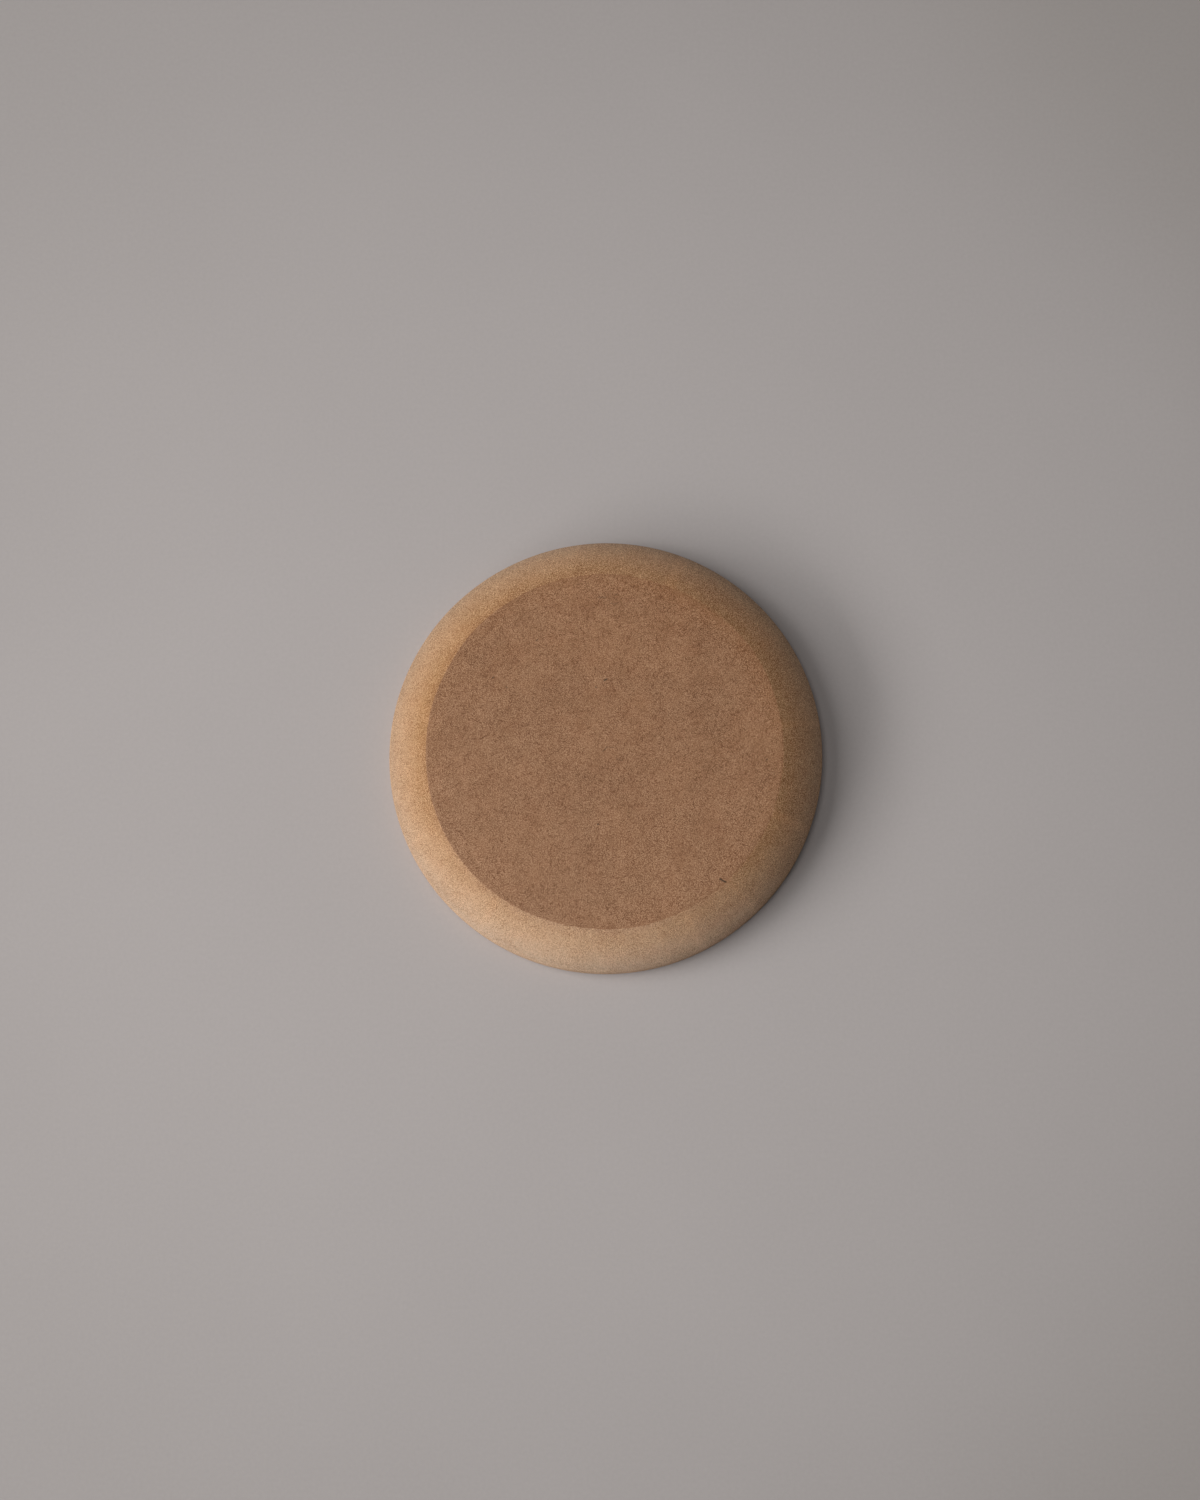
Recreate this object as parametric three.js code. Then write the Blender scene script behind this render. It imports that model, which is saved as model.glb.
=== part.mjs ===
// Round pottery drape mold, machined from one piece of 19 mm medium density fibreboard.
//
// The clay slab is laid over (or the mold is pressed into) the small flat face and its
// convex bevel; the large flat face is the underside that lies on the bench.
// Units are millimetres, +Z is up, and the origin is the centre of the underside.
//
// A pressed fibreboard is not uniform through its thickness: two dense, darker outer
// layers enclose a lighter, paler core. Each layer is one solid here, and they meet face
// to face on flat planes, as they are bonded in the press. Nothing else holds them.

import * as THREE from "three";

// ---- driving dimensions (mm) ----
const MOLD_DIAMETER = 127; // 5 in across the vertical wall
const BOARD_THICKNESS = 19; // stock 3/4 in board
const FACE_DIAMETER = 103.4; // small flat face, inside the bevel's arris
const DENSE_LAYER = 3; // depth of each dense outer layer
const BEVEL_START = 23; // slope of the bevel just under the arris, degrees from flat
const BEVEL_END = 58; // slope where the bevel meets the round-over
const BEVEL_RUN = 10.6; // how far out the bevel runs before it rounds over into the wall
const ARRIS_EASE = 0.45; // reach of the sanding break to each side of the top arris
const FOOT_EASE = 0.5; // sanding break on the bottom arris
const ROUND_STEPS = 7; // facets of the round-over
const BEVEL_STEPS = 10; // facets of the bevel
const SEGMENTS = 96; // facets round the disc

const R = MOLD_DIAMETER / 2;
const H = BOARD_THICKNESS;
const R_FACE = FACE_DIAMETER / 2;

// ---- outside profile, from the top arris down to the foot, as [radius, height] ----
// The bevel is one convex arc that falls from the arris, and a tighter round-over tangent
// to it brings it to the vertical wall.
const startAngle = THREE.MathUtils.degToRad(BEVEL_START);
const endAngle = THREE.MathUtils.degToRad(BEVEL_END);
const bevelRadius = BEVEL_RUN / (Math.sin(endAngle) - Math.sin(startAngle));
const fall = (x) =>
  bevelRadius *
  (Math.cos(startAngle) -
    Math.cos(Math.asin(Math.sin(startAngle) + x / bevelRadius)));
const roundRadius = (R - R_FACE - BEVEL_RUN) / (1 - Math.sin(endAngle));
const roundTop = H - fall(BEVEL_RUN);
const wallTop = roundTop - roundRadius * Math.cos(endAngle);

function outsideProfile() {
  const p = [];
  p.push([R_FACE - ARRIS_EASE, H]);
  for (let i = 0; i <= BEVEL_STEPS; i++) {
    const x = ARRIS_EASE + ((BEVEL_RUN - ARRIS_EASE) * i) / BEVEL_STEPS;
    p.push([R_FACE + x, H - fall(x)]);
  }
  for (let i = 1; i <= ROUND_STEPS; i++) {
    const b = endAngle + ((Math.PI / 2 - endAngle) * i) / ROUND_STEPS;
    p.push([
      R - roundRadius * (1 - Math.sin(b)),
      wallTop + roundRadius * Math.cos(b),
    ]);
  }
  p.push([R, FOOT_EASE]);
  p.push([R - FOOT_EASE, 0]);
  return p;
}

// Radius of the outside profile at a height, by straight lines between its points.
function radiusAt(profile, z) {
  for (let i = 1; i < profile.length; i++) {
    const [r0, z0] = profile[i - 1];
    const [r1, z1] = profile[i];
    if (z <= z0 && z >= z1 && z0 > z1)
      return r0 + ((r1 - r0) * (z0 - z)) / (z0 - z1);
  }
  throw new Error("no profile at " + z);
}

// One flat layer of the board between two heights, turned to the outside profile.
function layer(profile, zLow, zHigh) {
  const side = profile.filter(([, z]) => z < zHigh - 1e-6 && z > zLow + 1e-6);
  const top =
    zHigh >= H - 1e-6 ? profile[0] : [radiusAt(profile, zHigh), zHigh];
  const foot =
    zLow <= 1e-6 ? profile[profile.length - 1] : [radiusAt(profile, zLow), zLow];
  // From the axis at the bottom, out, up the side and back to the axis.
  const points = [[0, zLow], foot, ...side.reverse(), top, [0, zHigh]].map(
    ([r, z]) => new THREE.Vector2(r, z),
  );
  const g = new THREE.LatheGeometry(points, SEGMENTS);
  g.rotateX(Math.PI / 2); // the lathe turns about +Y; the mold stands on +Z
  return g;
}

const profile = outsideProfile();

// ---- materials ----
const denseFibre = new THREE.MeshStandardMaterial({
  color: new THREE.Color(0.335, 0.165, 0.081),
  roughness: 0.7,
  metalness: 0,
});
const coreFibre = new THREE.MeshStandardMaterial({
  color: new THREE.Color(0.475, 0.29, 0.165),
  roughness: 0.92,
  metalness: 0,
});

// ---- the board's layers ----
const mold = new THREE.Group();
mold.name = "pottery_mold";

const faceLayer = new THREE.Mesh(
  layer(profile, H - DENSE_LAYER, H),
  denseFibre,
);
faceLayer.name = "face_layer";
mold.add(faceLayer);

const coreLayer = new THREE.Mesh(
  layer(profile, DENSE_LAYER, H - DENSE_LAYER),
  coreFibre,
);
coreLayer.name = "core_layer";
mold.add(coreLayer);

const backLayer = new THREE.Mesh(layer(profile, 0, DENSE_LAYER), denseFibre);
backLayer.name = "back_layer";
mold.add(backLayer);

export default mold;
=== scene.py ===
"""Round pottery drape mold, machined from one piece of dense fibreboard.

The board's three layers are three closed meshes that share one outside surface: a
pressed flat face, a convex bevel sanded by hand, a short wall and a flat back. Lengths
in the shape code are millimetres and are scaled to metres when a mesh is made.
"""

import math

import bpy
import numpy as np
from mathutils import Matrix, Vector


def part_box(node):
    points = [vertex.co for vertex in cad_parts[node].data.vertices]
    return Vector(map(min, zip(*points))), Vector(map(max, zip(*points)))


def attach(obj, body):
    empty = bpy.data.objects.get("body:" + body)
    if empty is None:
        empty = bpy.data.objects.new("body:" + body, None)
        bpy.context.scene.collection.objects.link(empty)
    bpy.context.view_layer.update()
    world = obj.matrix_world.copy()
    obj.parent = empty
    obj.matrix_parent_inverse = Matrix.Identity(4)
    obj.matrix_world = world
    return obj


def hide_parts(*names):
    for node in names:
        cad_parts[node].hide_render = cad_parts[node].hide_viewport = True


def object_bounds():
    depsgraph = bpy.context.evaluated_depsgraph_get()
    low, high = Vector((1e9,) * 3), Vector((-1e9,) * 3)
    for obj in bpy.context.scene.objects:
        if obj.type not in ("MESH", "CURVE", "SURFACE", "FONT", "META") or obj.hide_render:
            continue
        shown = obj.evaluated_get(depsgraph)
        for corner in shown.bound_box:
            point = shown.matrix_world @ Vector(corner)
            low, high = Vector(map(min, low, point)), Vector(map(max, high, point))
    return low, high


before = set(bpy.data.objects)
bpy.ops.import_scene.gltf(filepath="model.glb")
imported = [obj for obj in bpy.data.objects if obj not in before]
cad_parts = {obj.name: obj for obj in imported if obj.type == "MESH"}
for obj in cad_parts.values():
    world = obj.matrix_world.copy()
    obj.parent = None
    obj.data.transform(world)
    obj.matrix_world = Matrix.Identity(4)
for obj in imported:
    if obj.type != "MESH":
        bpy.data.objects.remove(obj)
cad_low, cad_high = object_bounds()

MM = 0.001

# ---------------------------------------------------------------- dimensions, from the CAD
RADIUS = (cad_high.x - cad_low.x) / 2 / MM
HEIGHT = cad_high.z / MM
CORE_LOW, CORE_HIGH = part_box("core_layer")
Z_LOW = CORE_LOW.z / MM  # top of the back layer
Z_HIGH = CORE_HIGH.z / MM  # bottom of the face layer
FACE_R = 51.7  # arris of the small flat face
START, END = math.radians(23), math.radians(58)  # the bevel's arc, from and to this slope
RUN = 10.6  # how far out the bevel's arc runs
ARRIS = 0.09  # how deep the sanding of the arris reaches, more on two sides
FOOT = 0.5  # sanded edge round the underside
AROUND = 768  # steps round the disc

BEVEL_R = RUN / (math.sin(END) - math.sin(START))
ROUND_R = (RADIUS - FACE_R - RUN) / (1 - math.sin(END))
ROUND_TOP = HEIGHT - BEVEL_R * (math.cos(START) - math.cos(END))
WALL_TOP = ROUND_TOP - ROUND_R * math.cos(END)


# ---------------------------------------------------------------- outside surface
EASED = 2.3  # the arris's rounding ends within this reach to each side
DUBBED = 8.0  # the flat face starts to fall this far inside the arris
DUB = 0.13  # how far it has fallen at the arris
WORN_AT, WORN, WORN_REACH = 15.0, 0.08, 5.0  # and more on one side: where, how far, from where


def bevel_height(x):
    """Height of the bevel's arc at a distance outside the arris; inside, its tangent."""
    tilt = np.arcsin(math.sin(START) + np.clip(x, 0, RUN) / BEVEL_R)
    arc = HEIGHT - BEVEL_R * (math.cos(START) - np.cos(tilt))
    return arc - math.tan(START) * np.minimum(x, 0)


def profile():
    """[radius, height] from the flat face's rim, over the arris and down to the back."""
    p = []
    # The arris is sharp here, and ring() rounds it as far as it is sanded at each angle.
    for x in np.arange(-DUBBED, -EASED - 0.2, 0.57):
        p.append([FACE_R + x, HEIGHT])
    x = -EASED
    while x < RUN - 1e-6:
        p.append([FACE_R + x, min(HEIGHT, float(bevel_height(x)))])
        x += 0.09 if abs(x + 0.045) < 0.6 else 0.18 if x < EASED else 0.3
        if x > RUN - 0.2:
            x = RUN
    p.append([FACE_R + RUN, float(bevel_height(RUN))])
    for t in np.linspace(END, math.pi / 2, 14)[1:]:
        p.append(
            [
                RADIUS - ROUND_R * (1 - math.sin(t)),
                WALL_TOP + ROUND_R * math.cos(t),
            ]
        )
    for z in np.arange(WALL_TOP - 0.45, FOOT + 0.2, -0.45):
        p.append([RADIUS, z])
    for t in np.linspace(0, math.pi / 2, 8):
        p.append(
            [RADIUS - FOOT * (1 - math.cos(t)), FOOT * (1 - math.sin(t))]
        )
    return np.array(p)


PROFILE = profile()
PHI = np.arange(AROUND) * 2 * math.pi / AROUND


def radius_at(z):
    """Profile radius at a height, for the wanted heights of the layers' joints."""
    order = np.argsort(PROFILE[:, 1], kind="stable")
    return float(np.interp(z, PROFILE[order, 1], PROFILE[order, 0]))


def smooth(x, lo, hi):
    t = np.clip((x - lo) / (hi - lo), 0, 1)
    return t * t * (3 - 2 * t)


def ring_noise(seed, around, up, rows):
    """Even random relief on (height row, angle), periodic in angle, about -1 to 1."""
    rng = np.random.default_rng(seed)
    spectrum = np.fft.fft2(rng.standard_normal((rows, AROUND)))
    ky = np.fft.fftfreq(rows)[:, None] * rows
    kx = np.fft.fftfreq(AROUND)[None, :] * AROUND
    keep = np.exp(-((kx / around) ** 2) / 2 - ((ky / up) ** 2) / 2)
    field = np.fft.ifft2(spectrum * keep).real
    return field / field.std() / 2


def hump(phi, at, wide):
    """A smooth hump, 1 high, at an angle in degrees."""
    return np.exp(-((((np.degrees(phi) - at + 180) % 360 - 180) / wide) ** 2) / 2)


# The arris wanders by a few tenths of a millimetre, as a hand-sanded one does.
def wander(phi):
    return (
        0.085 * np.cos(2 * phi - 0.9)
        + 0.10 * np.cos(3 * phi + 0.6)
        + 0.12 * np.cos(5 * phi - 2.6)
        + 0.05 * np.cos(8 * phi + 1.1)
        + 0.03 * np.cos(13 * phi - 0.4)
        + 0.50 * hump(phi, 283, 10)
        + 0.20 * hump(phi, 134, 9)
        + 0.16 * hump(phi, 216, 12)
        - 0.24 * hump(phi, 175, 11)
        - 0.20 * hump(phi, 256, 8)
        + 0.10 * hump(phi, 16, 26)
    )


# Ridges where the flats left by hand sanding meet: degrees round the disc, how flat the next flat is, from
# 0, round, to 1, quite flat, and how much paler the next flat is drawn.
RIDGES = (
    (8, 0.16, 0.0), (36, 0.14, 0.0), (69, 0.12, 0.0), (92, 0.08, 0.0), (138, 0.14, 0.10),
    (165, 0.16, 0.38), (190, 0.2, 0.50), (206, 0.16, 0.34), (234, 0.14, 0.46),
    (262, 0.22, 0.26), (287, 0.30, 0.0), (298, 0.32, 0.0), (315, 0.22, 0.0), (339, 0.16, 0.0),
)


def flats(phi):
    """How far the sanded flats lie under the ridges between them, in mm."""
    at = np.degrees(phi) % 360
    at = np.where(at < RIDGES[0][0], at + 360, at)
    edges = np.array([a for a, _, _ in RIDGES] + [RIDGES[0][0] + 360], float)
    flat = np.array([f for _, f, _ in RIDGES])
    k = np.clip(np.searchsorted(edges, at, side="right") - 1, 0, len(flat) - 1)
    wide = np.radians(edges[k + 1] - edges[k]) * 56
    u = (at - edges[k]) / (edges[k + 1] - edges[k]) * 2 - 1
    cut = flat[k] * wide**2 / (8 * 56) * (1 - u * u)
    # Ridges are softened over half a degree or so.
    reach = np.arange(-6, 7)
    soft = np.exp(-((reach / 1.5) ** 2) / 2)
    return sum(w * np.roll(cut, int(r)) for w, r in zip(soft / soft.sum(), reach))


def sanding(phi):
    """Depth of the arris's rounding round the disc, in mm."""
    return ARRIS + 0.22 * hump(phi, 314, 24) + 0.22 * hump(phi, 62, 11)


def dub(x, fallen, reach):
    """How far hand sanding has let the surface fall at a distance outside the arris."""
    inside = np.clip(1 + x / reach, 0, 1) ** 2
    return fallen * (inside if x < 0 else 1 - float(smooth(x, 0, RUN)))


ROWS = 64
BROAD = ring_noise(11, 7, 1.6, ROWS)  # sanding flats, some 20 mm long
FINE = ring_noise(12, 70, 9, ROWS)  # faint ripple, some 2 mm long


FLATS = flats(PHI)
SANDING = sanding(PHI)
WORN_SIDE = smooth(np.cos(PHI - math.radians(WORN_AT)), 0.2, 1.0)


def relief(z, phi_index):
    """Outward shift of the outside surface at a height, in mm, for every angle."""
    row = (HEIGHT - z) / HEIGHT * (ROWS - 1) * 0.5
    i = int(np.clip(math.floor(row), 0, ROWS - 2))
    f = row - i
    broad = BROAD[i] * (1 - f) + BROAD[i + 1] * f
    fine = FINE[i] * (1 - f) + FINE[i + 1] * f
    bevel = smooth(z, WALL_TOP + 0.5, WALL_TOP + 4)  # the wall was turned true
    arris = smooth(z, 10.5, 18.2)
    flat = FLATS * bevel * (1 - 0.75 * smooth(z, 17.6, 19.0))
    uneven = (0.030 * broad + 0.006 * fine) * (0.25 + 0.75 * bevel)
    return (wander(PHI) * arris + uneven - flat)[phi_index]


# Small bruises round the foot, where the edge has met a bench: angle, half width, depth.
BRUISES = ((0.55, 0.011, 0.16), (2.32, 0.007, 0.12), (3.9, 0.016, 0.14), (5.35, 0.006, 0.1))


def ring(r, z):
    """One ring of the outside surface, as AROUND points."""
    rr = r + relief(z, np.arange(AROUND))
    if z < 1.4:
        for at, half, depth in BRUISES:
            away = (PHI - at + math.pi) % (2 * math.pi) - math.pi
            rr -= depth * np.exp(-((away / half) ** 2)) * smooth(1.4 - z, 0, 1.2)
    rr = np.minimum(rr, RADIUS + 0.02)
    zz = np.full(AROUND, z)
    x = r - FACE_R
    if -EASED < x < EASED:
        near = np.maximum(SANDING - abs(HEIGHT - float(bevel_height(x))), 0) / SANDING
        zz = zz - near * near * SANDING / 4
    if -DUBBED < x < RUN:
        zz = zz - dub(x, DUB, DUBBED) - dub(x, WORN, WORN_REACH) * WORN_SIDE
    return np.stack([rr * np.cos(PHI), rr * np.sin(PHI), zz], 1)


# ---------------------------------------------------------------- mesh making
class Builder:
    """Collects points, faces and a UV for every face corner."""

    def __init__(self):
        self.points, self.faces, self.uvs = [], [], []
        self.count = 0

    def add(self, pts):
        self.points.append(np.asarray(pts, float))
        first = self.count
        self.count += len(pts)
        return first

    def face(self, corners, uv):
        self.faces.append(corners)
        self.uvs.append(uv)


def cap(b, rim, z, up, uv_of, steps):
    """A flat disc inside a rim of AROUND points, in rings that halve towards the axis."""
    n = AROUND
    points = b.points_all = np.concatenate(b.points)
    outer = np.array(rim)
    outer_xy = points[outer][:, :2]
    radius = float(np.hypot(*outer_xy.T).mean())
    flip = 1 if up else -1

    def tri(i, j, k, xy):
        f = (i, j, k) if up else (i, k, j)
        q = (xy[0], xy[1], xy[2]) if up else (xy[0], xy[2], xy[1])
        b.face(f, [uv_of(x, y) for x, y in q])

    for step, r in enumerate(steps):
        r = r * radius
        m = n // 2 if step % 2 and n > 12 else n
        ang = np.arange(m) * 2 * math.pi / m
        # The first ring keeps the rim's wander, and the next ones lose it.
        inner_xy = np.stack([r * np.cos(ang), r * np.sin(ang)], 1)
        first = b.add(np.column_stack([inner_xy, np.full(m, z)]))
        inner = first + np.arange(m)
        if m == n:
            for i in range(n):
                j = (i + 1) % n
                corners = (outer[i], outer[j], inner[j], inner[i])
                xy = (outer_xy[i], outer_xy[j], inner_xy[j], inner_xy[i])
                if not up:
                    corners, xy = corners[::-1], xy[::-1]
                b.face(tuple(int(c) for c in corners), [uv_of(x, y) for x, y in xy])
        else:
            for k in range(m):
                i, j, l = 2 * k, 2 * k + 1, (2 * k + 2) % n
                kk = (k + 1) % m
                tri(int(outer[i]), int(outer[j]), int(inner[k]), (outer_xy[i], outer_xy[j], inner_xy[k]))
                tri(int(outer[j]), int(inner[kk]), int(inner[k]), (outer_xy[j], inner_xy[kk], inner_xy[k]))
                tri(int(outer[j]), int(outer[l]), int(inner[kk]), (outer_xy[j], outer_xy[l], inner_xy[kk]))
        outer, outer_xy, n = inner, inner_xy, m
    mid = b.add([[0, 0, z]])
    for i in range(n):
        j = (i + 1) % n
        tri(int(outer[i]), int(outer[j]), mid, (outer_xy[i], outer_xy[j], (0.0, 0.0)))
    return flip


def strip(b, rings, uv_at):
    """Quads down a list of rings; uv_at(ring index, angle step) gives a corner's UV."""
    for k in range(len(rings) - 1):
        hi, lo = rings[k], rings[k + 1]
        for i in range(AROUND):
            j = (i + 1) % AROUND
            b.face(
                (hi + i, lo + i, lo + j, hi + j),
                [uv_at(k, i, i), uv_at(k + 1, i, i), uv_at(k + 1, i + 1, i), uv_at(k, i + 1, i)],
            )


def make(name, b):
    points = np.concatenate(b.points) * MM
    mesh = bpy.data.meshes.new(name)
    mesh.from_pydata(points.tolist(), [], b.faces)
    layer = mesh.uv_layers.new(name="OFBake")
    flat = np.array([c for face in b.uvs for c in face], np.float32)
    layer.data.foreach_set("uv", flat.ravel())
    mesh.validate(verbose=False)
    mesh.update()
    mesh.shade_smooth()
    mesh.set_sharp_from_angle(angle=math.radians(24))
    ob = bpy.data.objects.new(name, mesh)
    bpy.context.scene.collection.objects.link(ob)
    return ob


def rows_between(z_top, z_bottom):
    """Profile points strictly between two heights, with one at each and one close by."""
    inside = [(r, z) for r, z in PROFILE if z_bottom + 0.12 < z < z_top - 0.12]
    out = []
    if z_top < HEIGHT - 1e-6:
        out += [(radius_at(z_top), z_top), (radius_at(z_top - 0.07), z_top - 0.07)]
    else:
        inside = [(r, z) for r, z in PROFILE if z > z_bottom + 0.12]
    out += inside
    if z_bottom > 1e-6:
        out += [
            (radius_at(z_bottom + 0.07), z_bottom + 0.07),
            (radius_at(z_bottom), z_bottom),
        ]
    else:
        out += [(r, z) for r, z in PROFILE if z <= 0.12]
    return out


RINGS = (0.985, 0.97, 0.94, 0.9, 0.84, 0.78, 0.68, 0.58, 0.45, 0.33, 0.2, 0.1)
HIDDEN_RINGS = (0.96, 0.9, 0.8, 0.66, 0.5, 0.34, 0.2, 0.1)


def disc_uv(centre, scale):
    return lambda x, y: (centre[0] + x * scale, centre[1] + y * scale)


def layer_with_disc(name, z_top, z_bottom, disc_up):
    """An outer layer of the board: its flat disc and its side share one round UV island."""
    rows = rows_between(z_top, z_bottom)
    b = Builder()
    firsts = [b.add(ring(r, z)) for r, z in rows]
    along = np.concatenate(
        [[0], np.cumsum(np.hypot(*np.diff(np.array(rows), axis=0).T))]
    )
    if disc_up:
        disc_r, reach = rows[0][0], along
    else:
        disc_r, reach = rows[-1][0], along[-1] - along
    full = disc_r + reach.max() + 0.3
    scale = 0.47 / full
    centre = (0.475, 0.525)

    def side(k, i, _):
        a = 2 * math.pi * i / AROUND
        r = disc_r + reach[k]
        return (centre[0] + r * scale * math.cos(a), centre[1] + r * scale * math.sin(a))

    strip(b, firsts, side)
    visible, hidden = disc_uv(centre, scale), disc_uv((0.935, 0.065), 0.055 / full)
    top = firsts[0] + np.arange(AROUND)
    bottom = firsts[-1] + np.arange(AROUND)
    cap(b, top, z_top, True, visible if disc_up else hidden, RINGS if disc_up else HIDDEN_RINGS)
    cap(b, bottom, z_bottom, False, hidden if disc_up else visible, HIDDEN_RINGS if disc_up else RINGS)
    return make(name, b)


def layer_of_side(name, z_top, z_bottom):
    """The core: its side is laid out as a stack of straight strips, its joints are hidden."""
    rows = rows_between(z_top, z_bottom)
    b = Builder()
    firsts = [b.add(ring(r, z)) for r, z in rows]
    along = np.concatenate(
        [[0], np.cumsum(np.hypot(*np.diff(np.array(rows), axis=0).T))]
    )
    parts = 4
    each = AROUND // parts
    width = 2 * math.pi * RADIUS / parts  # length of one strip
    k_uv = 0.97 / width
    tall = along[-1] * k_uv
    gap = (0.86 - parts * tall) / (parts + 1)

    def side(k, i, quad):
        part = quad // each
        u = 0.015 + (i - part * each) / each * 0.97
        v = 0.98 - gap - part * (tall + gap) - along[k] * k_uv
        return (u, v)

    strip(b, firsts, side)
    full = RADIUS + 1
    cap(b, firsts[0] + np.arange(AROUND), z_top, True, disc_uv((0.07, 0.062), 0.05 / full), HIDDEN_RINGS)
    cap(b, firsts[-1] + np.arange(AROUND), z_bottom, False, disc_uv((0.2, 0.062), 0.05 / full), HIDDEN_RINGS)
    return make(name, b)


face_piece = layer_with_disc("pressed_face_layer", HEIGHT, Z_HIGH, True)
core_piece = layer_of_side("machined_core_layer", Z_HIGH, Z_LOW)
back_piece = layer_with_disc("pressed_back_layer", Z_LOW, 0.0, False)


# ---------------------------------------------------------------- node shorthand
class Tree:
    """Short names for shader nodes. Arguments are sockets or constants."""

    def __init__(self, material):
        material.use_nodes = True
        self.t = material.node_tree
        self.t.nodes.clear()

    def node(self, kind, **props):
        n = self.t.nodes.new(kind)
        for k, v in props.items():
            setattr(n, k, v)
        return n

    def put(self, socket, value):
        if isinstance(value, bpy.types.NodeSocket):
            self.t.links.new(value, socket)
        else:
            socket.default_value = value

    def math(self, op, a, b=None, c=None, clamp=False):
        n = self.node("ShaderNodeMath", operation=op, use_clamp=clamp)
        for i, v in enumerate((a, b, c)):
            if v is not None:
                self.put(n.inputs[i], v)
        return n.outputs[0]

    def add(self, a, b):
        return self.math("ADD", a, b)

    def sub(self, a, b):
        return self.math("SUBTRACT", a, b)

    def mul(self, a, b):
        return self.math("MULTIPLY", a, b)

    def vmath(self, op, a, b=None, scale=None):
        n = self.node("ShaderNodeVectorMath", operation=op)
        self.put(n.inputs[0], a)
        if b is not None:
            self.put(n.inputs[1], b)
        if scale is not None:
            self.put(n.inputs[3], scale)
        return n.outputs[1 if op in ("LENGTH", "DISTANCE", "DOT_PRODUCT") else 0]

    def split(self, v):
        n = self.node("ShaderNodeSeparateXYZ")
        self.put(n.inputs[0], v)
        return n.outputs

    def split_rgb(self, v):
        n = self.node("ShaderNodeSeparateColor")
        self.put(n.inputs[0], v)
        return n.outputs

    def range(self, x, a, b, c=0.0, d=1.0, kind="SMOOTHSTEP"):
        n = self.node("ShaderNodeMapRange", interpolation_type=kind)
        for i, v in enumerate((x, a, b, c, d)):
            self.put(n.inputs[i], v)
        return n.outputs[0]

    def noise(self, vector, scale, detail=2.0, rough=0.5, distort=0.0, lac=2.0):
        n = self.node("ShaderNodeTexNoise", noise_dimensions="3D")
        self.put(n.inputs["Vector"], vector)
        n.inputs["Scale"].default_value = scale
        n.inputs["Detail"].default_value = detail
        n.inputs["Roughness"].default_value = rough
        n.inputs["Lacunarity"].default_value = lac
        n.inputs["Distortion"].default_value = distort
        return n.outputs[0]

    def cells(self, vector):
        n = self.node("ShaderNodeTexVoronoi", voronoi_dimensions="3D", feature="F1")
        self.put(n.inputs["Vector"], vector)
        n.inputs["Scale"].default_value = 1.0
        n.inputs["Randomness"].default_value = 1.0
        return n.outputs

    def mix(self, f, a, b, blend="MIX"):
        n = self.node("ShaderNodeMix", data_type="RGBA", blend_type=blend)
        n.clamp_factor = True
        self.put(n.inputs[0], f)
        for i, v in ((6, a), (7, b)):
            self.put(n.inputs[i], (*v, 1.0) if isinstance(v, tuple) and len(v) == 3 else v)
        return n.outputs[2]

    def ramp(self, f, stops, kind="EASE"):
        n = self.node("ShaderNodeValToRGB")
        r = n.color_ramp
        r.interpolation = kind
        while len(r.elements) > 1:
            r.elements.remove(r.elements[-1])
        r.elements[0].position = stops[0][0]
        r.elements[0].color = (*stops[0][1], 1.0)
        for at, colour in stops[1:]:
            e = r.elements.new(at)
            e.color = (*colour, 1.0)
        self.put(n.inputs[0], f)
        return n.outputs[0]


def fibres(t, p, cell, thick, length, width, seed, share=1.0, bend=0.12):
    """Wood fibres lying in the board's plane at random angles: (how much of one is here,
    that fibre's own random number). All lengths in mm. p is the place in mm."""
    q = t.vmath("ADD", p, (seed * 13.1, seed * 7.7, seed * 5.3))
    squeezed = t.vmath("MULTIPLY", q, (1 / cell, 1 / cell, 1 / thick))
    out = t.cells(squeezed)
    away = t.vmath("SUBTRACT", squeezed, out["Position"])
    d = t.split(t.vmath("MULTIPLY", away, (cell, cell, thick)))
    rnd = t.split_rgb(out["Color"])
    angle = t.mul(rnd[0], math.pi)
    c, s = t.math("COSINE", angle), t.math("SINE", angle)
    u = t.add(t.mul(d[0], c), t.mul(d[1], s))
    v = t.sub(t.mul(d[1], c), t.mul(d[0], s))
    curve = t.mul(t.sub(rnd[1], 0.5), bend * 2)
    v = t.sub(v, t.mul(t.mul(u, u), curve))
    half = t.math("MULTIPLY_ADD", rnd[2], length * 0.3, length * 0.2)
    over = t.math("MAXIMUM", t.sub(t.math("ABSOLUTE", u), half), 0.0)
    over2, v2, w2 = t.mul(over, over), t.mul(v, v), t.mul(d[2], d[2])
    dist = t.math("SQRT", t.add(t.add(over2, v2), w2))
    mask = t.range(dist, width * 0.35, width, 1.0, 0.0)
    if share < 1.0:
        mask = t.mul(mask, t.math("GREATER_THAN", share, rnd[1]))
    return mask, rnd[2]


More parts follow.
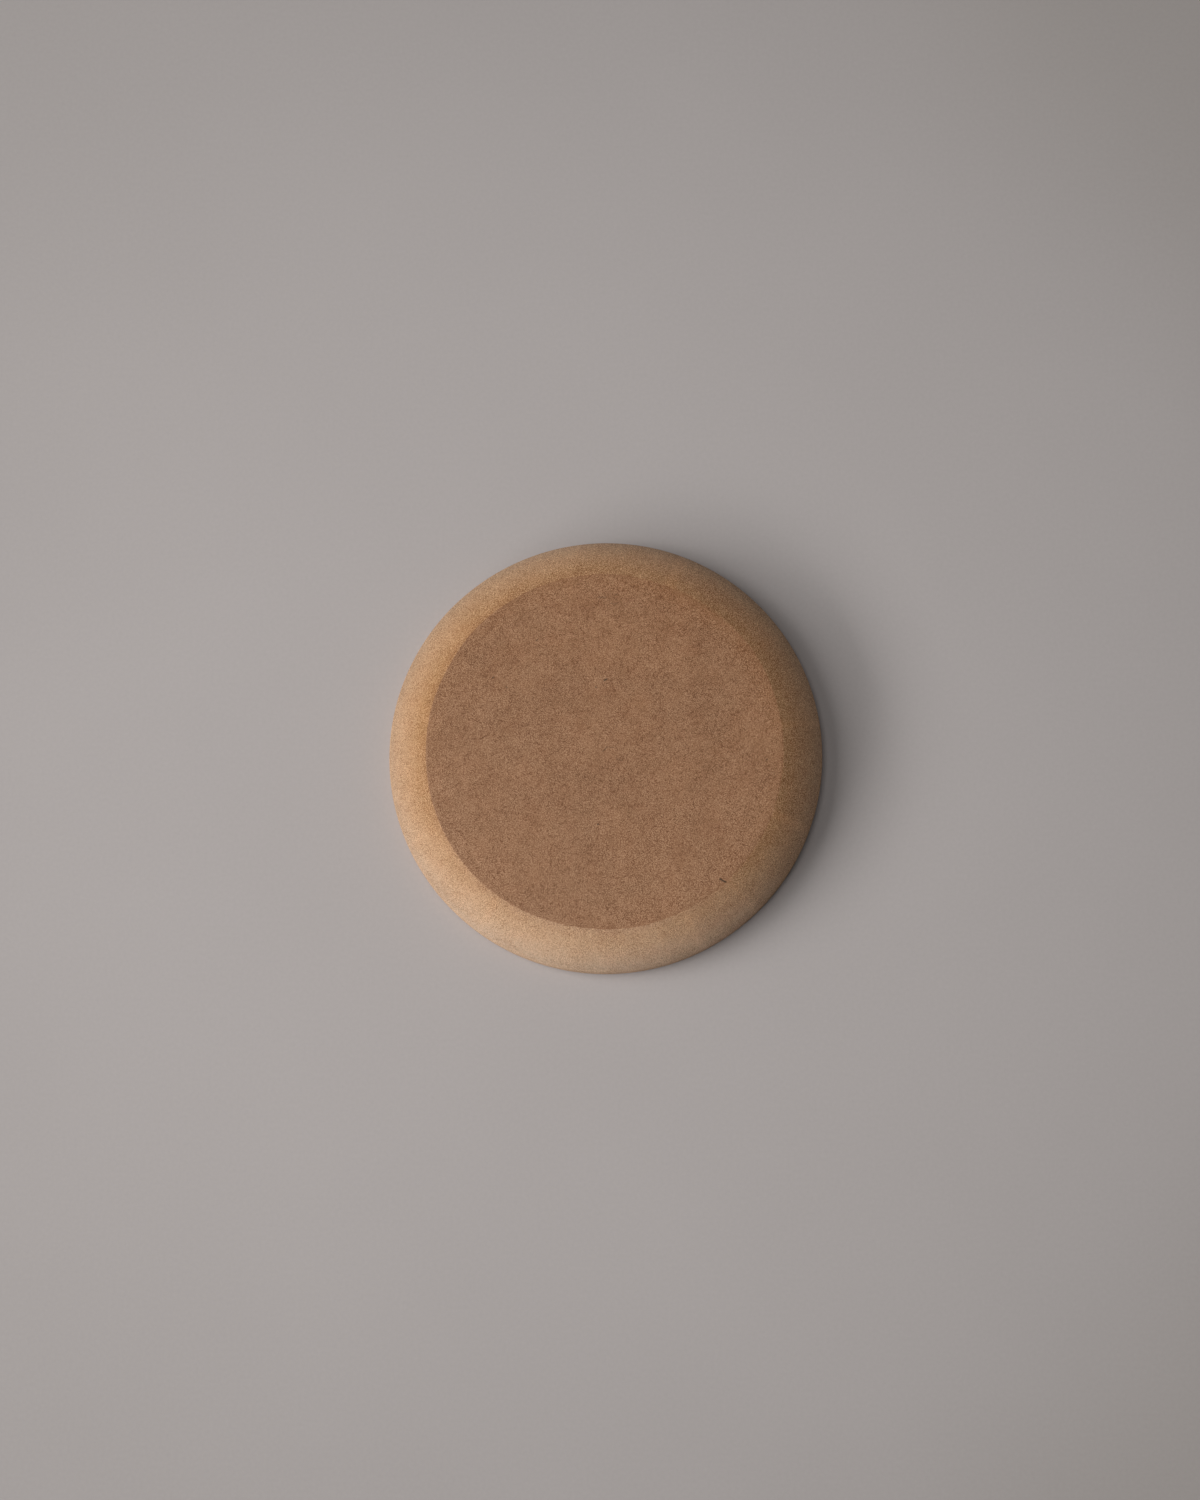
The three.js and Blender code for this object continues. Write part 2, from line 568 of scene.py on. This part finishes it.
# Dark bark flecks and a bent hair of bark that lie in the pressed face: place and half
# length in mm, angle in degrees, half width in mm, bend, and how dark.
FLECKS = (
    (34.16, -37.85, 0.92, -28, 0.25, 0.06, 1.0),
    (0.46, 20.68, 0.42, 27, 0.22, 0.0, 1.0),
    (0.21, 0.31, 0.84, 45, 0.13, 0.05, 0.62),
    (1.92, 0.90, 1.00, -3, 0.13, 0.06, 0.42),
    (4.65, -2.67, 0.86, -19, 0.13, -0.12, 0.42),
    (-2.29, 18.5, 0.10, 0, 0.20, 0.0, 0.85),
    (-1.71, -21.47, 0.10, 18, 0.21, 0.0, 0.95),
    (46.98, -2.86, 0.30, 53, 0.15, 0.0, 0.75),
    (-19.45, 32.46, 0.34, 45, 0.14, 0.0, 0.75),
    (-32.21, 21.53, 0.10, 0, 0.20, 0.0, 0.85),
    (-28.19, 18.6, 0.24, -21, 0.15, 0.0, 0.65),
    (3.67, 45.81, 0.16, -32, 0.15, 0.0, 0.6),
    (-0.5, 44.97, 1.1, 2, 0.26, 0.0, 0.32),
    (2.9, 43.06, 0.8, -3, 0.24, 0.0, 0.28),
)


# Ridges that are rubbed pale: degrees round the disc, half width in mm, and how pale.
RUBBED = (
    (339.2, 1.3, 0.27), (8.0, 1.0, 0.24), (68.0, 1.9, 0.27), (34.0, 1.2, 0.11),
    (313.2, 0.9, 0.15), (296.2, 1.2, 0.13), (287.0, 1.0, 0.06), (166.0, 1.0, 0.05),
    (205.2, 0.9, 0.05), (234.4, 1.2, 0.15),
)


# Faint darker stains on the pressed face: place, half width and half height in mm, how dark.
STAINS = (
    (-7.0, 43.5, 8.5, 5.0, 0.080), (24.0, 39.5, 9.0, 7.0, 0.060), (-31.0, 29.0, 7.0, 7.0, 0.045),
    (35.0, 3.0, 6.0, 8.0, 0.050), (-13.0, 19.0, 7.5, 6.0, 0.035),
)


# Small differences of tone round the cut: the way it faces in degrees, cosines from and to
# which it comes in, depths from and to which it comes in, in mm, and the tint.
TINTS = (
    (45, 0.940, 0.990, 8.0, 5.5, (0.995, 0.965, 0.955)),
    (60, 0.940, 0.990, 0.5, 2.5, (0.965, 0.965, 0.975)),
    (113, 0.920, 0.980, 3.0, 6.0, (1.050, 1.050, 1.040)),
    (164, 0.950, 0.985, 3.2, 1.0, (0.990, 0.985, 0.945)),
    (280, 0.975, 0.995, 3.0, 6.0, (0.965, 0.950, 0.955)),
    (306, 0.980, 0.995, 8.0, 5.0, (0.955, 0.935, 0.945)),
)


def fleck(t, xyz, x, y, half, angle, width, bend, dark):
    """How much of one fleck is here, on the pressed face only."""
    c, s = math.cos(math.radians(angle)), math.sin(math.radians(angle))
    dx, dy = t.sub(xyz[0], x), t.sub(xyz[1], y)
    u = t.math("MULTIPLY_ADD", dy, s, t.mul(dx, c))
    v = t.math("MULTIPLY_ADD", dy, c, t.mul(dx, -s))
    if bend:
        v = t.math("MULTIPLY_ADD", t.mul(u, u), -bend, v)
    over = t.math("MAXIMUM", t.sub(t.math("ABSOLUTE", u), half), 0.0)
    dist = t.math("SQRT", t.math("MULTIPLY_ADD", over, over, t.mul(v, v)))
    return t.range(dist, width * 1.3, width * 0.5, 0.0, dark)


CUT_DARKER = 0.076  # how much darker the cut is for the dark fibres that it doesn't show


# ---------------------------------------------------------------- fibreboard
def fibreboard(name, sheen, diffuse_roughness):
    """One board all through: a brown pressed skin, an orange-brown dense layer under it
    and a pale core, so the layers' meshes meet without a line."""
    m = bpy.data.materials.new(name)
    t = Tree(m)
    coords = t.node("ShaderNodeTexCoord")
    p = t.vmath("SCALE", coords.outputs["Object"], scale=1000.0)
    xyz = t.split(p)
    z = xyz[2]
    wide = t.noise(p, 0.045, 2.0, 0.5)  # 20 mm and more
    patch = t.noise(p, 0.16, 2.0, 0.55)  # 6 mm
    clump = t.noise(p, 0.75, 2.0, 0.6)  # 1.3 mm
    grain = t.noise(p, 2.7, 2.0, 0.7, distort=0.7)  # 0.35 mm
    fine = t.noise(p, 5.2, 1.0, 0.6, distort=0.5)  # 0.2 mm
    tint = t.noise(t.vmath("ADD", p, (37.0, 11.0, 5.0)), 0.22, 2.0, 0.6)  # 5 mm
    mottle = t.noise(t.vmath("ADD", p, (5.0, 71.0, 23.0)), 0.34, 1.0, 0.5)  # 3 mm
    busy = t.noise(t.vmath("ADD", p, (83.0, 29.0, 41.0)), 0.13, 2.0, 0.5)  # 8 mm
    smudge = t.noise(t.vmath("ADD", p, (17.0, 43.0, 9.0)), 0.095, 1.0, 0.5)  # 11 mm

    # Depth under the nearer pressed face, wavering a little as the dense layer does.
    low = t.math("MINIMUM", z, t.sub(HEIGHT, z))
    depth = t.math("MULTIPLY_ADD", t.sub(patch, 0.5), 1.2, low)

    # Fibres: many fine pale and dark ones, some longer bundles, a few bark flecks.
    pale_f, pale_r = fibres(t, p, 0.95, 0.30, 1.0, 0.135, 1)
    dark_f, dark_r = fibres(t, p, 1.05, 0.30, 1.1, 0.135, 2, share=0.62)
    pale_b, _ = fibres(t, p, 2.5, 0.42, 2.6, 0.17, 3, bend=0.1)
    dark_b, _ = fibres(t, p, 2.9, 0.42, 2.4, 0.17, 4, share=0.8, bend=0.1)
    shive, shive_r = fibres(t, p, 8.0, 1.1, 3.6, 0.2, 5, share=0.5, bend=0.03)
    bark, _ = fibres(t, p, 6.2, 1.4, 0.8, 0.24, 6, share=0.42, bend=0.2)
    speck, speck_r = fibres(t, p, 2.1, 0.9, 0.25, 0.19, 7, share=0.5)

    # Which way each place faces, and how far out it is.
    way = t.vmath("NORMALIZE", t.vmath("MULTIPLY", p, (1.0, 1.0, 0.0)))
    out_r = t.vmath("LENGTH", t.vmath("MULTIPLY", p, (1.0, 1.0, 0.0)))

    def facing(degrees):
        a = math.radians(degrees)
        return t.vmath("DOT_PRODUCT", way, (math.cos(a), math.sin(a), 0.0))

    # The pressed skin is thin: 0.05 mm or so, more on one side, and the bevel cuts
    # through it. On the top the fall of the dubbed rim doesn't count as depth.
    dubbed = t.range(out_r, FACE_R - DUBBED, FACE_R, 0.0, 1.0, "LINEAR")
    worn = t.range(out_r, FACE_R - WORN_REACH, FACE_R, 0.0, 1.0, "LINEAR")
    worn_side = t.range(facing(WORN_AT), 0.2, 1.0)
    rim_fall = t.add(
        t.mul(t.mul(dubbed, dubbed), DUB), t.mul(t.mul(worn, worn), t.mul(worn_side, WORN))
    )
    rim_fall = t.mul(rim_fall, t.math("GREATER_THAN", z, HEIGHT / 2))
    thick = t.math(
        "MAXIMUM", t.range(facing(317), 0.78, 0.97), t.range(facing(60), 0.965, 0.995, 0.0, 0.8)
    )
    skin_depth = t.add(t.sub(low, rim_fall), t.mul(t.sub(grain, 0.5), 0.08))
    skin = t.range(
        skin_depth,
        t.math("MULTIPLY_ADD", thick, 0.11, 0.085), t.math("MULTIPLY_ADD", thick, 0.02, 0.02),
        0.0, 1.0,
    )
    # The cut shows more grain on the side facing about 45 degrees, away from the painted sheen.
    coarse = t.range(facing(45), -0.30, 0.70, 0.71, 1.18)
    show = t.mix(skin, coarse, (1.04, 1.04, 1.04))

    # Light and dark, as a share of the base colour.
    value = t.mul(t.sub(grain, 0.5), 1.6)
    value = t.add(value, t.mul(t.sub(fine, 0.5), 4.9))
    value = t.add(value, t.mul(pale_f, t.math("MULTIPLY_ADD", pale_r, 0.20, 0.04)))
    value = t.add(value, t.mul(pale_b, 0.14))
    dark = t.mul(dark_f, t.math("MULTIPLY_ADD", dark_r, 0.75, 0.28))
    dark = t.math("MULTIPLY_ADD", dark_b, 0.34, dark)
    dark = t.math("MULTIPLY_ADD", speck, t.math("MULTIPLY_ADD", speck_r, 0.50, 0.16), dark)
    # Dark fibres show less where the board was cut and sanded.
    value = t.sub(value, t.mul(dark, t.range(skin, 0.0, 1.0, 0.45, 1.0, "LINEAR")))
    value = t.sub(value, t.range(skin, 0.0, 1.0, CUT_DARKER, 0.0, "LINEAR"))
    # Some places are busier than others.
    value = t.mul(value, t.math("MULTIPLY_ADD", t.sub(busy, 0.5), 1.5, 1.05))
    value = t.add(value, t.mul(t.sub(clump, 0.5), 0.42))
    # Smudges of 3 to 12 mm, stronger on the upper half of the face, faint on the cut.
    blotch = t.math(
        "MULTIPLY_ADD", t.sub(mottle, 0.5), 0.34, t.mul(t.sub(patch, 0.5), 0.36)
    )
    blotch = t.math("MULTIPLY_ADD", t.sub(smudge, 0.5), 0.24, blotch)
    upper = t.range(t.vmath("DOT_PRODUCT", p, (-0.34, 0.94, 0.0)), -40.0, 35.0, 0.84, 1.20)
    blotch = t.mul(blotch, t.mul(upper, t.range(skin, 0.0, 1.0, 0.55, 1.0, "LINEAR")))
    value = t.add(t.math("MULTIPLY_ADD", t.add(value, 0.05), show, -0.05), blotch)
    value = t.sub(value, t.mul(bark, 0.60))
    value = t.add(value, t.mul(shive, t.mul(t.sub(shive_r, 0.35), 0.3)))
    spots = None
    for f in FLECKS:
        one = fleck(t, xyz, *f)
        spots = one if spots is None else t.math("MAXIMUM", spots, one)
    spots = t.mul(spots, t.range(z, HEIGHT - 0.7, HEIGHT - 0.4))

    stain = None
    for x, y, half_x, half_y, dark in STAINS:
        dx = t.math("MULTIPLY_ADD", xyz[0], 1 / half_x, -x / half_x)
        dy = t.math("MULTIPLY_ADD", xyz[1], 1 / half_y, -y / half_y)
        away = t.math("SQRT", t.math("MULTIPLY_ADD", dx, dx, t.mul(dy, dy)))
        away = t.math("MULTIPLY_ADD", t.sub(patch, 0.5), 1.2, away)
        one = t.range(away, 1.35, 0.2, 0.0, dark)
        stain = one if stain is None else t.add(stain, one)
    value = t.sub(value, t.mul(stain, t.range(z, HEIGHT - 0.7, HEIGHT - 0.4)))

    # The face is painted a little paler and greyer towards about 255 degrees than across from it, a painted
    # sheen, and warmer near the rim except on that side.
    across = t.vmath("DOT_PRODUCT", p, (-0.259, -0.966, 0.0))
    skin_colour = t.mix(
        t.range(across, -52.0, 52.0, kind="LINEAR"), (0.2985, 0.1387, 0.0573), (0.324, 0.1600, 0.0744)
    )
    # Painted light: the face is made up to a fifth brighter towards -X, the side the lamps stand on.
    skin_colour = t.mix(
        t.range(t.vmath("DOT_PRODUCT", p, (-0.906, 0.0, 0.0)), -50.0, 50.0, kind="LINEAR"),
        skin_colour, (1.139, 1.169, 1.217), "MULTIPLY",
    )
    skin_colour = t.mix(
        t.mul(t.range(out_r, 45.0, 50.5), t.range(facing(262), 0.7, -0.2)),
        skin_colour, (1.0, 0.975, 0.915), "MULTIPLY",
    )
    skin_colour = t.mix(
        t.mul(t.range(out_r, 43.0, 51.0), t.range(facing(54), 0.72, 0.97)),
        skin_colour, (0.985, 0.955, 0.88), "MULTIPLY",
    )
    skin_colour = t.mix(
        t.range(wide, 0.35, 0.65), skin_colour, (1.07, 1.07, 1.07), "MULTIPLY"
    )
    cut_colour = t.ramp(
        t.math("DIVIDE", depth, 9.5, clamp=True),
        (
            (0.0, (0.4365, 0.2240, 0.0975)),
            (0.12, (0.4910, 0.2695, 0.1220)),
            (0.27, (0.5140, 0.2990, 0.1525)),
            (0.48, (0.5240, 0.3205, 0.1805)),
            (0.76, (0.5005, 0.3205, 0.1950)),
            (1.0, (0.4600, 0.3040, 0.1960)),
        ),
        "LINEAR",
    )
    # Painted sheen: an even neutral lift, strongest on the side facing about 262 degrees, turns the cut
    # towards cream.
    painted_sheen_side = t.range(t.math("MULTIPLY_ADD", t.sub(patch, 0.5), 0.25, facing(262)), 0.28, 1.0)
    cut_colour = t.mix(painted_sheen_side, cut_colour, (0.088, 0.093, 0.088), "ADD")
    cut_colour = t.mix(
        t.range(facing(150), 0.80, 0.98), cut_colour, (1.0, 0.98, 0.945), "MULTIPLY"
    )
    cut_colour = t.mix(
        t.mul(t.range(facing(266), 0.85, 0.99), t.range(depth, 3.2, 0.8)),
        cut_colour, (1.0, 1.02, 1.07), "MULTIPLY",
    )
    cut_colour = t.mix(
        t.range(facing(86), 0.80, 0.97), cut_colour, (1.02, 1.02, 1.05), "MULTIPLY"
    )
    # Across from the painted sheen it is redder, and paler again low down.
    cut_colour = t.mix(
        t.mul(
            t.range(facing(24), 0.30, 0.88),
            t.mul(t.range(depth, 0.6, 2.0), t.range(depth, 7.0, 3.5)),
        ),
        cut_colour, (0.975, 0.935, 0.925), "MULTIPLY",
    )
    cut_colour = t.mix(
        t.mul(t.range(depth, 3.0, 5.5), t.range(facing(338), 0.50, 0.90)),
        cut_colour, (1.085, 1.075, 1.09), "MULTIPLY",
    )
    for at, turn_lo, turn_hi, deep_lo, deep_hi, tint_colour in TINTS:
        here = t.mul(t.range(facing(at), turn_lo, turn_hi), t.range(depth, deep_lo, deep_hi))
        cut_colour = t.mix(here, cut_colour, tint_colour, "MULTIPLY")
    # Each sanded flat has its own tone.
    round_about = t.math(
        "MULTIPLY_ADD", t.math("ARCTAN2", xyz[1], xyz[0]), 0.5 / math.pi, 0.5
    )
    tones, before = [], RIDGES[-1][2]
    for at, _, pale in RIDGES:
        if pale != before:
            place = (at / 360 + 0.5) % 1
            tones += [(place - 0.002, (before,) * 3), (place + 0.002, (pale,) * 3)]
            before = pale
    tone = t.mul(t.ramp(round_about, sorted(tones), "LINEAR"), t.range(z, 4.0, 8.0))
    cut_colour = t.mix(tone, cut_colour, (1.10, 1.15, 1.20), "MULTIPLY")
    # Ridges where two sanded flats meet are rubbed pale.
    rubbed = None
    for at, half, gain in RUBBED:
        c, s = math.cos(math.radians(at)), math.sin(math.radians(at))
        off = t.math("ABSOLUTE", t.math("MULTIPLY_ADD", xyz[1], c, t.mul(xyz[0], -s)))
        on = t.math("GREATER_THAN", t.math("MULTIPLY_ADD", xyz[1], s, t.mul(xyz[0], c)), 0.0)
        one = t.mul(t.range(off, half * 1.4, half * 0.4, 0.0, gain), on)
        rubbed = one if rubbed is None else t.math("MAXIMUM", rubbed, one)
    rubbed = t.mul(rubbed, t.range(z, 5.0, 9.0))
    cut_colour = t.mix(rubbed, cut_colour, (1.5, 1.46, 1.42), "MULTIPLY")
    base = t.mix(skin, cut_colour, skin_colour)
    base = t.mix(
        t.range(tint, 0.30, 0.70, kind="LINEAR"), base,
        (1.022, 0.985, 0.975), "MULTIPLY",
    )
    # Dark parts keep more red, pale ones turn towards cream.
    dark_side = t.range(value, -0.60, 0.0, 1.0, 0.0, "LINEAR")
    pale_side = t.range(value, 0.0, 0.7, 0.0, 1.0, "LINEAR")
    colour = t.mix(dark_side, base, (0.48, 0.36, 0.24), "MULTIPLY")
    palest = t.mix(skin, (0.90, 0.585, 0.338), (0.84, 0.535, 0.325))
    pale_side = t.mul(pale_side, t.range(skin, 0.0, 1.0, 0.60, 0.38, "LINEAR"))
    colour = t.mix(pale_side, colour, palest)
    colour = t.mix(t.mul(spots, 0.88), colour, (0.050, 0.026, 0.010))

    # Relief, in mm: pressed flat on the skin, a short nap where it was cut and sanded.
    nap = t.noise(p, 5.5, 1.0, 0.5, distort=0.4)
    height = t.mul(t.sub(grain, 0.5), t.range(skin, 0.0, 1.0, 0.15, 0.07, "LINEAR"))
    height = t.add(height, t.mul(t.sub(nap, 0.5), t.range(skin, 0.0, 1.0, 0.094, 0.026, "LINEAR")))
    height = t.add(height, t.mul(pale_f, 0.012))
    height = t.sub(height, t.mul(bark, 0.02))
    bump = t.node("ShaderNodeBump")
    bump.inputs["Strength"].default_value = 1.0
    bump.inputs["Distance"].default_value = MM
    t.put(bump.inputs["Height"], height)

    rough = t.range(skin, 0.0, 1.0, 0.90, 0.66, "LINEAR")
    rough = t.math("MULTIPLY_ADD", t.sub(grain, 0.5), 0.25, rough, clamp=True)

    shader = t.node("ShaderNodeBsdfPrincipled")
    t.put(shader.inputs["Base Color"], colour)
    t.put(shader.inputs["Roughness"], rough)
    t.put(shader.inputs["Normal"], bump.outputs[0])
    shader.inputs["IOR"].default_value = 1.48
    shader.inputs["Specular IOR Level"].default_value = 0.42
    shader.inputs["Diffuse Roughness"].default_value = diffuse_roughness
    shader.inputs["Sheen Weight"].default_value = sheen
    shader.inputs["Sheen Roughness"].default_value = 0.5
    shader.inputs["Sheen Tint"].default_value = (1.0, 0.86, 0.72, 1.0)
    out = t.node("ShaderNodeOutputMaterial")
    t.put(out.inputs[0], shader.outputs[0])
    return m


board = fibreboard("fibreboard", 0.06, 0.4)
for piece, node, slot in (
    (face_piece, "face_layer", "pressed_face"),
    (core_piece, "core_layer", "machined_core"),
    (back_piece, "back_layer", "pressed_back"),
):
    piece.data.materials.append(board)
    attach(piece, "root")
    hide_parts(node)
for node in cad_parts.values():
    node.data.materials.clear()
    node.data.materials.append(board)

# ---------------------------------------------------------------- floor
floor_material = bpy.data.materials.new("pale_floor")
ft = Tree(floor_material)
fc = ft.node("ShaderNodeTexCoord")
fine = ft.noise(fc.outputs["Object"], 900.0, 2.0, 0.6)
soft = ft.noise(fc.outputs["Object"], 14.0, 3.0, 0.5)
tone = ft.add(ft.mul(ft.sub(fine, 0.5), 0.10), ft.mul(ft.sub(soft, 0.5), 0.06))
floor_colour = ft.mix(
    ft.range(tone, -0.06, 0.06, 0.0, 1.0, "LINEAR"),
    (0.425, 0.390, 0.378),
    (0.475, 0.437, 0.424),
)
# Painted light falloff: the floor is made darker away from the mold, as a pool of light, up to where it
# starts to fade out.
away = ft.vmath("LENGTH", fc.outputs["Object"])
floor_colour = ft.mix(
    ft.range(away, 0.10, 0.34), floor_colour, (0.82, 0.82, 0.815), "MULTIPLY"
)
# Painted light falloff: darker still further out on the +X side, away from the lamps.
right = ft.range(ft.split(fc.outputs["Object"])[0], 0.05, 0.15)
floor_colour = ft.mix(
    ft.mul(ft.range(away, 0.19, 0.27), right), floor_colour, (0.945, 0.94, 0.925), "MULTIPLY"
)
fs = ft.node("ShaderNodeBsdfPrincipled")
ft.put(fs.inputs["Base Color"], floor_colour)
fs.inputs["Roughness"].default_value = 0.9
fs.inputs["Specular IOR Level"].default_value = 0.2
fade = ft.node("ShaderNodeBsdfTransparent")
blend = ft.node("ShaderNodeMixShader")
ft.put(blend.inputs[0], ft.range(away, 0.285, 0.42))
ft.put(blend.inputs[1], fs.outputs[0])
ft.put(blend.inputs[2], fade.outputs[0])
fo = ft.node("ShaderNodeOutputMaterial")
ft.put(fo.inputs[0], blend.outputs[0])

floor_mesh = bpy.data.meshes.new("floor")
floor_mesh.from_pydata(
    [(-1.6, -1.6, -0.00003), (1.6, -1.6, -0.00003), (1.6, 1.6, -0.00003), (-1.6, 1.6, -0.00003)],
    [],
    [(0, 1, 2, 3)],
)
floor = bpy.data.objects.new("floor", floor_mesh)
floor.data.materials.append(floor_material)
bpy.context.scene.collection.objects.link(floor)

# ---------------------------------------------------------------- light
CENTRE = Vector((0, 0, 0.01))


def panel(name, azimuth, elevation, distance, width, height, power):
    """A soft panel that faces the mold. Azimuth runs anticlockwise from +X."""
    data = bpy.data.lights.new(name, "AREA")
    data.shape = "RECTANGLE"
    data.size, data.size_y = width, height
    data.energy = power
    data.color = (1.0, 1.0, 1.0)
    ob = bpy.data.objects.new(name, data)
    a, e = math.radians(azimuth), math.radians(elevation)
    way = Vector((math.cos(a) * math.cos(e), math.sin(a) * math.cos(e), math.sin(e)))
    ob.location = CENTRE + way * distance
    side = Vector((-math.sin(a), math.cos(a), 0))
    up = way.cross(side)
    ob.matrix_world = Matrix.Translation(ob.location) @ Matrix(
        (side, up, way)
    ).transposed().to_4x4()
    ob.visible_camera = False
    bpy.context.scene.collection.objects.link(ob)
    return ob


panel("low_panel", 204.5, 27, 2.2, 2.15, 0.58, 32.0)
panel("main_panel", 177, 43, 2.2, 1.26, 1.48, 25.8)
panel("top_panel", 180, 86, 2.0, 0.74, 0.74, 8.1)

world = bpy.data.worlds.new("studio")
bpy.context.scene.world = world
world.use_nodes = True
wt = world.node_tree
wt.nodes.clear()
seen = wt.nodes.new("ShaderNodeBackground")
seen.inputs[0].default_value = (0.292, 0.272, 0.263, 1)
seen.inputs[1].default_value = 1.0
lit = wt.nodes.new("ShaderNodeBackground")
lit.inputs[0].default_value = (1.0, 1.0, 1.0, 1)
lit.inputs[1].default_value = 0.05
path = wt.nodes.new("ShaderNodeLightPath")
both = wt.nodes.new("ShaderNodeMixShader")
world_out = wt.nodes.new("ShaderNodeOutputWorld")
wt.links.new(path.outputs["Is Camera Ray"], both.inputs[0])
wt.links.new(lit.outputs[0], both.inputs[1])
wt.links.new(seen.outputs[0], both.inputs[2])
wt.links.new(both.outputs[0], world_out.inputs[0])

# ---------------------------------------------------------------- camera
TILT, TURN = math.radians(7.86), math.radians(14.23)
DISTANCE = 0.9
back_way = Vector(
    (math.sin(TILT) * math.sin(TURN), -math.sin(TILT) * math.cos(TURN), math.cos(TILT))
)
up_way = Vector((0, 1, 0)) - back_way * back_way.y
up_way.normalize()
right_way = up_way.cross(back_way)
camera_data = bpy.data.cameras.new("camera")
camera_data.lens = 73.17
camera_data.sensor_width = 36.0
camera_data.sensor_fit = "AUTO"
camera_data.clip_start, camera_data.clip_end = 0.01, 20
camera = bpy.data.objects.new("camera", camera_data)
aim = right_way * -0.001776 + up_way * 0.002636
spin = Matrix((right_way, up_way, back_way)).transposed().to_4x4()
camera.matrix_world = Matrix.Translation(aim + back_way * DISTANCE) @ spin
bpy.context.scene.collection.objects.link(camera)
bpy.context.scene.camera = camera

view = bpy.context.scene.view_settings
view.view_transform = "Standard"
view.look = "None"
view.exposure = 0.0
view.gamma = 1.0
